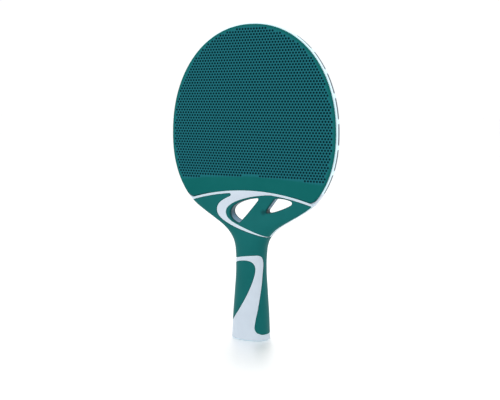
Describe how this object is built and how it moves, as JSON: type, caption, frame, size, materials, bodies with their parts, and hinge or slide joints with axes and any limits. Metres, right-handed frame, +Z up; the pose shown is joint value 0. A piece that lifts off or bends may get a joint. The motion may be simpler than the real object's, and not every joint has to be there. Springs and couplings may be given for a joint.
{
  "type": "table tennis bat",
  "caption": "Outdoor table-tennis bat: moulded composite core with slotted edge, dimpled sheets on both faces, windowed throat and flared two-colour handle.",
  "frame": {"origin": "middle of the flat end of the handle, which is the bottom centre of the object's box", "axes": "+Z up the bat from the butt to the top of the head, +X across the head, +Y through the thickness from the front face to the back face"},
  "size_m": [0.1528, 0.0236, 0.2612],
  "materials": {
    "core_resin": "white composite resin, satin, fine moulded grain",
    "face_rubber": "teal rubber, matte, dimpled all over",
    "adhesive": "translucent film, dull",
    "soft_grip": "teal soft-touch elastomer, fine matt grain"
  },
  "bodies": {
    "root": {"core_frame": "core_resin", "front_sheet": "face_rubber", "back_sheet": "face_rubber", "front_adhesive_film": "adhesive", "back_adhesive_film": "adhesive", "front_throat_panel": "soft_grip", "back_throat_panel": "soft_grip", "neck_grip": "soft_grip", "palm_inlay": "soft_grip", "butt_plug": "core_resin"}
  },
  "joints": []
}
